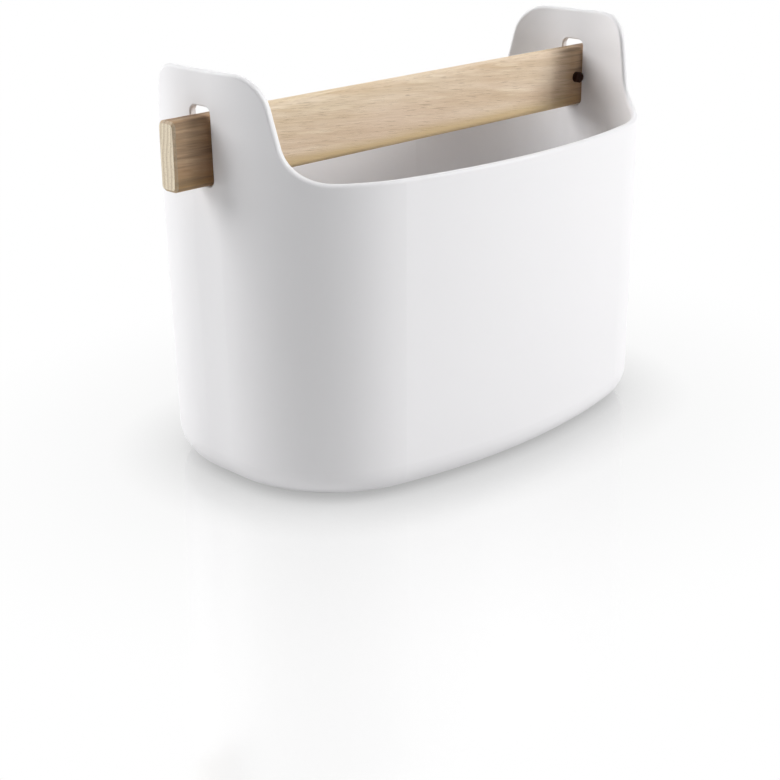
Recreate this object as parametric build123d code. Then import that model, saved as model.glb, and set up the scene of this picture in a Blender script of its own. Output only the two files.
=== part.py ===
from build123d import *
import math
import os

# Utensil holder, in millimetres. X runs along the handle bar, -Y is the front and Z = 0 is what it stands on.

# Container, an oval shell measured at the height of its ear tops
length = 232.0
depth = 152.0
side_radius = 290.0
end_land = 16.0
rim_height = 133.0
ear_rise = 41.0
wall = 3.2
floor_thickness = 4.5
draft_angle = 1.0
base_round = 13.0
lip_round = 1.3

# Ears, seen from the end
ear_top_width = 62.0
ear_lean_angle = 12.0
ear_corner_radius = 16.0
rim_sweep_radius = 17.0
ear_bridge = 14.3

# Handle bar, a flat slat on its edge
bar_thickness = 10.0
bar_height = 28.0
bar_overhang = 17.0
bar_edge_round = 2.6
bar_end_chamfer = 1.0

# Slots in the ears, around the bar
slot_side_gap = 1.0
slot_top_gap = 3.5
slot_seat_gap = 0.2
slot_corner_radius = 3.0
slot_edge_chamfer = 0.5

# Stop pins, across the bar just inside the ears
pin_diameter = 5.0
pin_proud = 3.0
pin_wall_gap = 0.4
pin_edge_chamfer = 0.5

# Feet, soft dots in pockets of the base
foot_diameter = 12.0
foot_proud = 1.0
foot_pocket = 2.0
foot_side_gap = 0.1
foot_edge_chamfer = 0.4
foot_inset = 6.0

# Heights and places worked out from the sizes above
underside = foot_proud
rim_z = underside + rim_height
ear_top = rim_z + ear_rise
slot_top = ear_top - ear_bridge
slot_bottom = slot_top - slot_top_gap - bar_height - slot_seat_gap
bar_bottom = slot_bottom + slot_seat_gap
bar_middle = bar_bottom + bar_height / 2
draft_slope = math.tan(math.radians(draft_angle))


# Radius of the plan's corners: tangent to the flat end land and to the long side arc
def plan_corner_radius():
    a = length / 2
    b = depth / 2 - end_land / 2
    return (2 * b * side_radius - a**2 - b**2) / (2 * (side_radius - a))


# Plan of the shell as one face at the ear tops: flat end lands, corner arcs and bowed long sides
def plan_face(inset):
    corner = plan_corner_radius()
    corner_x = length / 2 - corner
    corner_y = end_land / 2
    side_y = depth / 2 - side_radius
    turn = math.degrees(math.atan2(corner_y - side_y, corner_x))
    end_x = length / 2 - inset
    with BuildSketch(Plane.XY.offset(ear_top)) as plan:
        with BuildLine():
            Line((end_x, -corner_y), (end_x, corner_y))
            CenterArc((corner_x, corner_y), corner - inset, 0, turn)
            CenterArc((0, side_y), side_radius - inset, turn, 180 - 2 * turn)
            CenterArc((-corner_x, corner_y), corner - inset, 180 - turn, turn)
            Line((-end_x, corner_y), (-end_x, -corner_y))
            CenterArc((-corner_x, -corner_y), corner - inset, 180, turn)
            CenterArc((0, -side_y), side_radius - inset, 180 + turn, 180 - 2 * turn)
            CenterArc((corner_x, -corner_y), corner - inset, 360 - turn, turn)
        make_face()
    return plan.sketch


# Solid under the plan, narrowing downwards by the draft, with its bottom edge rounded
def drafted_block(inset, bottom, bottom_round):
    block = extrude(plan_face(inset), amount=ear_top - bottom, dir=(0, 0, -1), taper=draft_angle)
    bottom_edges = block.edges().group_by(Axis.Z)[0]
    return fillet(bottom_edges, bottom_round)


# Everything below the rim and ears in the end view, as a block right through the shell
def rim_profile_block():
    ear_half = ear_top_width / 2
    foot_half = ear_half + ear_rise * math.tan(math.radians(ear_lean_angle))
    outside = depth
    corners = [(-outside, rim_z), (-foot_half, rim_z), (-ear_half, ear_top)]
    corners += [(ear_half, ear_top), (foot_half, rim_z), (outside, rim_z)]
    rounds = [rim_sweep_radius, ear_corner_radius, ear_corner_radius, rim_sweep_radius]
    with BuildSketch(Plane.YZ) as profile:
        with BuildLine():
            FilletPolyline(*corners, radius=rounds)
            Polyline((outside, rim_z), (outside, 0), (-outside, 0), (-outside, rim_z))
        make_face()
    return extrude(profile.sketch, amount=length, both=True)


# One quarter of the shell, with the edges where its rim and ear meet both walls rounded
def shell_quarter():
    shell = drafted_block(0, underside, base_round)
    shell -= drafted_block(wall, underside + floor_thickness, base_round - wall)
    shell &= rim_profile_block()
    reach = length + depth
    shell &= Pos(reach / 2, reach / 2, 0) * Box(reach, reach, 4 * ear_top)
    lip_edges = []
    for edge in shell.edges():
        box = edge.bounding_box()
        on_cut_plane = box.max.X < 0.01 or box.max.Y < 0.01
        crosses_wall = edge.length < 2 * wall
        if box.min.Z > rim_z - 0.01 and not on_cut_plane and not crosses_wall:
            lip_edges.append(edge)
    return fillet(lip_edges, lip_round)


# The slot's round-cornered section, right through both ears along X
def slot_block():
    width = bar_thickness + 2 * slot_side_gap
    height = slot_top - slot_bottom
    middle = (slot_top + slot_bottom) / 2
    section = Plane.YZ * Pos(0, middle) * RectangleRounded(width, height, slot_corner_radius)
    return extrude(section, amount=length, both=True)


# Edges of the slots on the faces of the ears
def slot_edges(shell):
    half_width = bar_thickness / 2 + slot_side_gap
    found = []
    for edge in shell.edges():
        box = edge.bounding_box()
        in_width = max(-box.min.Y, box.max.Y) < half_width + 0.01
        in_height = box.min.Z > slot_bottom - 0.01 and box.max.Z < slot_top + 0.01
        if in_width and in_height and box.size.X < wall / 2:
            found.append(edge)
    return found


# Centres of the four feet, named, on the diagonals of the base's corners
def foot_places():
    corner = plan_corner_radius()
    drop = (ear_top - underside) * draft_slope
    reach = corner - drop - base_round - foot_inset - foot_diameter / 2
    x = length / 2 - corner + reach * math.cos(math.radians(45))
    y = end_land / 2 + reach * math.sin(math.radians(45))
    return {
        "foot_front_left": (-x, -y),
        "foot_front_right": (x, -y),
        "foot_rear_left": (-x, y),
        "foot_rear_right": (x, y),
    }


# One-piece container: four mirrored quarters of the shell, the slots and the foot pockets
def container():
    right_rear = shell_quarter()
    rear = right_rear + mirror(right_rear, Plane.YZ)
    shell = rear + mirror(rear, Plane.XZ)
    shell -= slot_block()
    shell = chamfer(slot_edges(shell), slot_edge_chamfer)
    for x, y in foot_places().values():
        pocket_radius = foot_diameter / 2 + foot_side_gap
        shell -= Pos(x, y, underside + foot_pocket / 2) * Cylinder(pocket_radius, foot_pocket)
    return shell


# Distance from the middle to the shell's outer end wall, at a height
def end_wall_x(z):
    return length / 2 - (ear_top - z) * draft_slope


# Where the stop pins cross the bar, clear of the ears' inner faces
def pin_x():
    return end_wall_x(bar_middle) - wall - pin_wall_gap - pin_diameter / 2


# Hole or pin across the bar, along Y
def cross_rod(x, radius, span):
    return Pos(x, 0, bar_middle) * Rot(90, 0, 0) * Cylinder(radius, span)


# Flat bar with rounded long edges, chamfered ends and a cross hole near each end
def handle_bar():
    bar_length = 2 * (end_wall_x(bar_middle) + bar_overhang)
    bar = Pos(0, 0, bar_middle) * Box(bar_length, bar_thickness, bar_height)
    bar = fillet(bar.edges().filter_by(Axis.X), bar_edge_round)
    end_edges = bar.edges().group_by(Axis.X)[0] + bar.edges().group_by(Axis.X)[-1]
    bar = chamfer(end_edges, bar_end_chamfer)
    for side in (-1, 1):
        bar -= cross_rod(side * pin_x(), pin_diameter / 2, 2 * bar_thickness)
    return bar


# Stop pin, a short rod pressed through the bar and standing out of both faces
def stop_pin(side):
    pin = cross_rod(side * pin_x(), pin_diameter / 2, bar_thickness + 2 * pin_proud)
    return chamfer(pin.edges().filter_by(GeomType.CIRCLE), pin_edge_chamfer)


# Foot, a soft disc that fills its pocket and stands out below the base
def foot(x, y):
    height = foot_proud + foot_pocket
    disc = Pos(x, y, height / 2) * Cylinder(foot_diameter / 2, height)
    return chamfer(disc.edges().group_by(Axis.Z)[0], foot_edge_chamfer)


pieces = {
    "container": container(),
    "handle_bar": handle_bar(),
    "stop_pin_left": stop_pin(-1),
    "stop_pin_right": stop_pin(1),
}
for name, (x, y) in foot_places().items():
    pieces[name] = foot(x, y)

os.makedirs("parts", exist_ok=True)
for name, piece in pieces.items():
    export_step(piece, f"parts/{name}.step")
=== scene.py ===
import math

import bpy
from mathutils import Matrix, Vector


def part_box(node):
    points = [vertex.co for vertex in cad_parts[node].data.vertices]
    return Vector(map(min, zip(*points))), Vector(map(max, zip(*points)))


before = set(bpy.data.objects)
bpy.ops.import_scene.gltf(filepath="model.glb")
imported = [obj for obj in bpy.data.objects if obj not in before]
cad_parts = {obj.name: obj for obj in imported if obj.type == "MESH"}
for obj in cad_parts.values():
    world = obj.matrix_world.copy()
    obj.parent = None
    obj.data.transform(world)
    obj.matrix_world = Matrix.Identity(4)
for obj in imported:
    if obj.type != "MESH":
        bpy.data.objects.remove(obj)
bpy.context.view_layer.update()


# Camera: a long lens a little above the rim, looking at the near left corner
# of the container and down onto the floor in front of it.
eye_azimuth = math.radians(-45.2)
eye_elevation = math.radians(14.218)
eye_distance = 0.7192
look_height = 0.101
view_turn = math.radians(0.793)
view_pitch = math.radians(18.168)
view_roll = math.radians(-0.763)
focal_pixels = 1601.8
picture_pixels = 780
sensor_millimetres = 36
lens_shift = -0.1
nearest_view = 0.01


# Unit vector out from the middle: azimuth turns from the front to the right
def direction(azimuth, elevation):
    level = math.cos(elevation)
    return Vector((math.sin(azimuth) * level, -math.cos(azimuth) * level, math.sin(elevation)))


eye = direction(eye_azimuth, eye_elevation) * eye_distance + Vector((0, 0, look_height))
forward = -direction(eye_azimuth + view_turn, view_pitch)
right = forward.cross(Vector((0, 0, 1))).normalized()
level_view = Matrix((right, right.cross(forward), -forward)).transposed()
rolled_view = level_view @ Matrix.Rotation(view_roll, 3, "Z")
camera_data = bpy.data.cameras.new("camera")
camera_data.sensor_width = sensor_millimetres
camera_data.lens = focal_pixels / picture_pixels * sensor_millimetres
camera_data.shift_y = lens_shift
camera_data.clip_start = nearest_view
camera = bpy.data.objects.new("camera", camera_data)
camera.matrix_world = Matrix.Translation(eye) @ rolled_view.to_4x4()
bpy.context.collection.objects.link(camera)
bpy.context.scene.camera = camera
bpy.context.scene.view_settings.view_transform = "Standard"


# Floor: a wide sheet of white acrylic on a light table, smooth enough to give back
# a faint image of the container, and glowing evenly white to the camera but for painted shade near
# it.
floor_half = 8.0
floor_white = (0.8, 0.8, 0.8, 1)
floor_roughness = 0.5
full_white = (1, 1, 1, 1)
close_shade_reach = 0.035
close_shade_darkest = 0.62
wide_shade_reach = 0.14
wide_shade_darkest = 0.75
shade_samples = 8
image_blur = 0.1
acrylic_index = 1.6


# A new material, with its surface shader in place
def start_material(name):
    material = bpy.data.materials.new(name)
    material.use_nodes = True
    return material


# A new shader node, with its inputs and settings given by name
def put(tree, kind, **values):
    node = tree.nodes.new("ShaderNode" + kind)
    for name, value in values.items():
        if name in node.inputs:
            node.inputs[name].default_value = value
        else:
            setattr(node, name, value)
    return node


# Gives an input its source, which is another node's output or a plain value
def feed(source, socket):
    if isinstance(source, bpy.types.NodeSocket):
        socket.id_data.links.new(source, socket)
    else:
        socket.default_value = source


# The value between two limits, spread over a new range and held at its ends
def band(value, low, high, to_low=0.0, to_high=1.0):
    limits = put(value.id_data, "MapRange")
    feed(value, limits.inputs["Value"])
    feed(low, limits.inputs["From Min"])
    feed(high, limits.inputs["From Max"])
    feed(to_low, limits.inputs["To Min"])
    feed(to_high, limits.inputs["To Max"])
    return limits.outputs["Result"]


# The material's own surface shader, given its colour, roughness and gloss
def surface(tree, colour, roughness, specular=0.5):
    shader = tree.nodes["Principled BSDF"]
    feed(colour, shader.inputs["Base Color"])
    feed(roughness, shader.inputs["Roughness"])
    feed(specular, shader.inputs["Specular IOR Level"])
    return shader.outputs["BSDF"]


# The first shader, with the second over it as far as the share goes
def mix_shaders(share, first, second):
    mix = put(share.id_data, "MixShader")
    feed(share, mix.inputs["Fac"])
    feed(first, mix.inputs[1])
    feed(second, mix.inputs[2])
    return mix.outputs["Shader"]


# 1 for rays that the camera sees, straight, mirrored or through glass, and 0 for the rest
def sight_ray(tree):
    ray = put(tree, "LightPath")
    share = ray.outputs["Is Camera Ray"]
    for kind in ("Is Glossy Ray", "Is Transmission Ray"):
        either = put(tree, "Math", operation="MAXIMUM")
        feed(share, either.inputs[0])
        feed(ray.outputs[kind], either.inputs[1])
        share = either.outputs[0]
    return share


floor_corners = [(-floor_half, -floor_half, 0), (floor_half, -floor_half, 0)]
floor_corners += [(floor_half, floor_half, 0), (-floor_half, floor_half, 0)]
floor_mesh = bpy.data.meshes.new("floor")
floor_mesh.from_pydata(floor_corners, [], [(0, 1, 2, 3)])
floor = bpy.data.objects.new("floor", floor_mesh)
bpy.context.collection.objects.link(floor)
acrylic = start_material("white_acrylic")
tree = acrylic.node_tree
bounce = surface(tree, floor_white, floor_roughness)
# Painted shade on the floor's glow: darker close to the container, and a little darker further out
shade = put(tree, "Math", operation="MULTIPLY")
shade_rings = ((close_shade_reach, close_shade_darkest), (wide_shade_reach, wide_shade_darkest))
for socket, (reach, darkest) in zip(shade.inputs, shade_rings):
    nearby = put(tree, "AmbientOcclusion", samples=shade_samples, Distance=reach)
    feed(band(nearby.outputs["AO"], 0.0, 1.0, darkest, 1.0), socket)
glow = put(tree, "Emission", Strength=1.0)
feed(shade.outputs[0], glow.inputs["Color"])
mirror = put(tree, "BsdfGlossy", Color=full_white, Roughness=image_blur)
gloss = put(tree, "Fresnel", IOR=acrylic_index)
seen = mix_shaders(gloss.outputs[0], glow.outputs[0], mirror.outputs[0])
look = mix_shaders(sight_ray(tree), bounce, seen)
feed(look, tree.nodes["Material Output"].inputs["Surface"])
floor_mesh.materials.append(acrylic)


# Studio light: one broad soft box on the right in front and one on the left behind,
# so the wall facing the camera between them is the darkest, in a pale room.
room_blue = (0.92, 0.96, 1, 1)
room_fill = 0.05


# A broad lamp far away, with its place and the spread of its light in degrees
def soft_box(name, azimuth, elevation, strength, spread):
    lamp = bpy.data.lights.new(name, "SUN")
    lamp.energy = strength
    lamp.angle = math.radians(spread)
    stand = bpy.data.objects.new(name, lamp)
    source = direction(math.radians(azimuth), math.radians(elevation))
    stand.rotation_mode = "QUATERNION"
    stand.rotation_quaternion = source.to_track_quat("Z", "Y")
    bpy.context.collection.objects.link(stand)


soft_box("soft_box_right", azimuth=39.5, elevation=34, strength=2.67, spread=30)
soft_box("soft_box_left", azimuth=-147, elevation=36, strength=2.75, spread=50)
room = bpy.data.worlds.new("pale_room")
bpy.context.scene.world = room
room.use_nodes = True
tree = room.node_tree
fill = tree.nodes["Background"]
feed(room_blue, fill.inputs["Color"])
feed(room_fill, fill.inputs["Strength"])
backdrop = put(tree, "Background", Color=full_white, Strength=1.0)
shown = mix_shaders(sight_ray(tree), fill.outputs[0], backdrop.outputs[0])
feed(shown, tree.nodes["World Output"].inputs["Surface"])


# Container: one moulding in satin white melamine, plain but for the fine grain and
# the slight unevenness of gloss that the mould leaves on it.
melamine_white = (0.862, 0.854, 0.865, 1)
melamine_specular = 0.35
smoothest_patch = 0.38
roughest_patch = 0.5


# The place on the piece, in metres
def own_place(tree):
    return put(tree, "TexCoord").outputs["Object"]


# Noise that is alike in all directions, with its frequency per metre
def even_noise(tree, scale, detail):
    noise = put(tree, "TexNoise", Scale=scale, Detail=detail)
    feed(own_place(tree), noise.inputs["Vector"])
    return noise.outputs["Fac"]


# Fine dents and ridges that follow a height, on the material's surface shader
def relief(height, strength, depth):
    tree = height.id_data
    dent = put(tree, "Bump", Strength=strength, Distance=depth)
    feed(height, dent.inputs["Height"])
    feed(dent.outputs["Normal"], tree.nodes["Principled BSDF"].inputs["Normal"])


plastic = start_material("satin_white_melamine")
tree = plastic.node_tree
haze = even_noise(tree, scale=28, detail=3)
satin = band(haze, 0.0, 1.0, smoothest_patch, roughest_patch)
surface(tree, melamine_white, satin, melamine_specular)
relief(even_noise(tree, scale=1400, detail=2), strength=0.05, depth=0.0001)
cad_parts["container"].data.materials[0] = plastic


# Handle bar: a slat of pale oak, oiled, cut so that the growth rings follow one another
# through its thickness and the grain runs a little downhill, with painted shade along
# its lower edge. Toward the ends it carries painted shade, darkest where it meets the slots.
early_wood = (0.85, 0.715, 0.545, 1)
late_wood = (0.67, 0.51, 0.325, 1)
cloud_brown = (0.77, 0.57, 0.45, 1)
fibre_brown = (0.54, 0.39, 0.25, 1)
wisp_cream = (0.93, 0.81, 0.63, 1)
pore_brown = (0.37, 0.25, 0.15, 1)
# Painted shade along the bar's lower edge
lower_shade_brown = (0.6, 0.44, 0.22, 1)
# Painted shade toward the ends, and the dark grain streaks shown within it
painted_end_shade = (0.64, 0.54, 0.45, 1)
streak_brown = (0.2, 0.14, 0.09, 1)
# Painted contact shade where the bar passes through the slots
painted_slot_shade = (0.55, 0.47, 0.4, 1)
end_early_wood = (0.87, 0.77, 0.6, 1)
end_late_wood = (0.64, 0.52, 0.37, 1)
vessel_brown = (0.3, 0.2, 0.12, 1)
oak_specular = 0.3
smoothest_oak = 0.5
roughest_oak = 0.66
streak_strength = 0.55
vessel_strength = 0.5
pore_depth = 2.0

bar_low, bar_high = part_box("handle_bar")
bar_middle = (bar_low + bar_high) / 2
bar_half = (bar_high - bar_low) / 2
grain_slope = math.radians(-5.4)
grain_sway = 0.004
pith_to_bar = (0, 0.12, 0.012)
rings_per_metre = 420.0

# Heights at which the painted shade along the lower edge shows, measured up from the bar's lower
# edge
lower_shade_begins = 0.0075 - bar_half.z
lower_shade_full = 0.0035 - bar_half.z

# Places of the painted end shade and of the painted slot shade, measured in from the bar's ends
end_shade_begins = bar_half.x - 0.0424
end_shade_full = bar_half.x - 0.0264
slot_shade_begins = bar_half.x - 0.0204
slot_shade_full = bar_half.x - 0.0164
slot_shade_fades = bar_half.x - 0.0154
slot_shade_ends = bar_half.x - 0.0054


# A vector shifted, turned or scaled
def mapped(vector, **values):
    mapping = put(vector.id_data, "Mapping", **values)
    feed(vector, mapping.inputs["Vector"])
    return mapping.outputs["Vector"]


# One sum, such as an addition or a product
def sums(operation, first, second=0.0):
    node = put(first.id_data, "Math", operation=operation)
    feed(first, node.inputs[0])
    feed(second, node.inputs[1])
    return node.outputs[0]


# One coordinate of a vector
def coordinate(vector, axis):
    split = put(vector.id_data, "SeparateXYZ")
    feed(vector, split.inputs[0])
    return split.outputs[axis]


# The first colour, mixed with the second or multiplied by it as far as the share goes
def tint(share, first, second, mode="MIX"):
    mix = put(share.id_data, "Mix", data_type="RGBA", blend_type=mode)
    sockets = {socket.identifier: socket for socket in mix.inputs}
    feed(share, sockets["Factor_Float"])
    feed(first, sockets["A_Color"])
    feed(second, sockets["B_Color"])
    results = {socket.identifier: socket for socket in mix.outputs}
    return results["Result_Color"]


# Noise drawn out along X, as grain is, with its frequencies per metre along and across
def drawn_noise(vector, along, across, detail, roughness=0.5):
    noise = put(vector.id_data, "TexNoise", Scale=1.0, Detail=detail, Roughness=roughness)
    feed(mapped(vector, Scale=(along, across, across)), noise.inputs["Vector"])
    return noise.outputs["Fac"]


oak = start_material("oiled_oak")
tree = oak.node_tree
bar_place = mapped(own_place(tree), Location=-bar_middle)
grain_place = mapped(bar_place, Rotation=(0, grain_slope, 0))
figure = band(drawn_noise(grain_place, along=14, across=190, detail=4, roughness=0.6), 0.36, 0.64)
cloud = band(drawn_noise(grain_place, along=9, across=40, detail=2), 0.4, 0.65)
fibre = band(drawn_noise(grain_place, along=45, across=1500, detail=4, roughness=0.65), 0.32, 0.68)
wisp = band(drawn_noise(grain_place, along=26, across=360, detail=3, roughness=0.6), 0.53, 0.7)
pores = band(drawn_noise(grain_place, along=100, across=2400, detail=2, roughness=0.6), 0.57, 0.68)
wander = drawn_noise(grain_place, along=8, across=30, detail=2)
sway = band(wander, 0.0, 1.0, -grain_sway, grain_sway)
# Painted shade along the lower edge, wandering a little with the grain
lower_edge_shade = band(sums("ADD", coordinate(bar_place, "Z"), sway), lower_shade_begins, lower_shade_full)

# Layers of the long faces' colour: each pattern, its strength and its colour
wood_layers = (
    (cloud, 0.4, cloud_brown),
    (fibre, 0.3, fibre_brown),
    (wisp, 0.5, wisp_cream),
    (pores, 0.45, pore_brown),
    (lower_edge_shade, 0.75, lower_shade_brown),
)
long_face = tint(figure, early_wood, late_wood)
for pattern, strength, colour in wood_layers:
    long_face = tint(sums("MULTIPLY", pattern, strength), long_face, colour)

# Painted shade toward the ends, where the ears shade the bar, with dark grain streaks in it, and
# painted contact shade where the bar meets the slots
from_middle = sums("ABSOLUTE", coordinate(bar_place, "X"))
# Painted shade on the long faces toward the ends, standing in for the ears' shadow
shaded_ends = band(from_middle, end_shade_begins, end_shade_full)
long_face = tint(shaded_ends, long_face, painted_end_shade, "MULTIPLY")
# Dark grain streaks, shown only within the painted end shade
streaks = band(drawn_noise(bar_place, along=20, across=620, detail=3), 0.5, 0.66)
shaded_end_streaks = sums("MULTIPLY", shaded_ends, streaks)
long_face = tint(sums("MULTIPLY", shaded_end_streaks, streak_strength), long_face, streak_brown)
# Painted contact shade where the bar passes through the ear walls
slot_shade_start = band(from_middle, slot_shade_begins, slot_shade_full)
slot_shade = sums("MULTIPLY", slot_shade_start, band(from_middle, slot_shade_ends, slot_shade_fades))
long_face = tint(slot_shade, long_face, painted_slot_shade, "MULTIPLY")

# End grain, with the rings round a pith that lies in front of the bar and a little low
from_pith = put(tree, "VectorMath", operation="LENGTH")
feed(mapped(bar_place, Location=pith_to_bar, Scale=(0, 1, 1)), from_pith.inputs[0])
ring_count = sums("MULTIPLY", sums("ADD", from_pith.outputs["Value"], sway), rings_per_metre)
rings = band(sums("FRACT", ring_count), 0.3, 1.0)
end_face = tint(rings, end_early_wood, end_late_wood)
vessels = band(drawn_noise(bar_place, along=500, across=2200, detail=2), 0.55, 0.7)
end_face = tint(sums("MULTIPLY", vessels, vessel_strength), end_face, vessel_brown)

# The whole bar, with end grain on the faces that look along it
facing = put(tree, "NewGeometry")
facing_along = sums("ABSOLUTE", coordinate(facing.outputs["Normal"], "X"))
end_share = band(facing_along, 0.6, 0.9)
oak_roughness = band(fibre, 0.0, 1.0, smoothest_oak, roughest_oak)
surface(tree, tint(end_share, long_face, end_face), oak_roughness, oak_specular)
relief(sums("SUBTRACT", fibre, sums("MULTIPLY", pores, pore_depth)), strength=0.3, depth=0.0002)
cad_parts["handle_bar"].data.materials[0] = oak


# Stop pins: two short dowels of smoked hardwood, dark and dull, with the grain along
# them, pressed through the bar just inside the ears and cut off square.
smoke_black = (0.01, 0.003, 0.001, 1)
smoke_brown = (0.035, 0.012, 0.006, 1)
dowel_stretch = (1800, 150, 1800)
smoked = start_material("smoked_hardwood")
tree = smoked.node_tree
dowel_grain = put(tree, "TexNoise", Scale=1.0, Detail=3)
feed(mapped(own_place(tree), Scale=dowel_stretch), dowel_grain.inputs["Vector"])
dowel_tone = tint(dowel_grain.outputs["Fac"], smoke_black, smoke_brown)
surface(tree, dowel_tone, roughness=0.55, specular=0.12)
relief(dowel_grain.outputs["Fac"], strength=0.2, depth=0.0001)
for name in ("stop_pin_left", "stop_pin_right"):
    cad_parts[name].data.materials[0] = smoked


# Feet: round pads of grey silicone pressed into the base, so the container neither
# slides nor marks the worktop.
silicone_grey = (0.62, 0.62, 0.6, 1)
silicone = start_material("grey_silicone")
tree = silicone.node_tree
surface(tree, silicone_grey, roughness=0.55)
relief(even_noise(tree, scale=2200, detail=2), strength=0.1, depth=0.0001)
for name in ("foot_front_left", "foot_front_right", "foot_rear_left", "foot_rear_right"):
    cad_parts[name].data.materials[0] = silicone
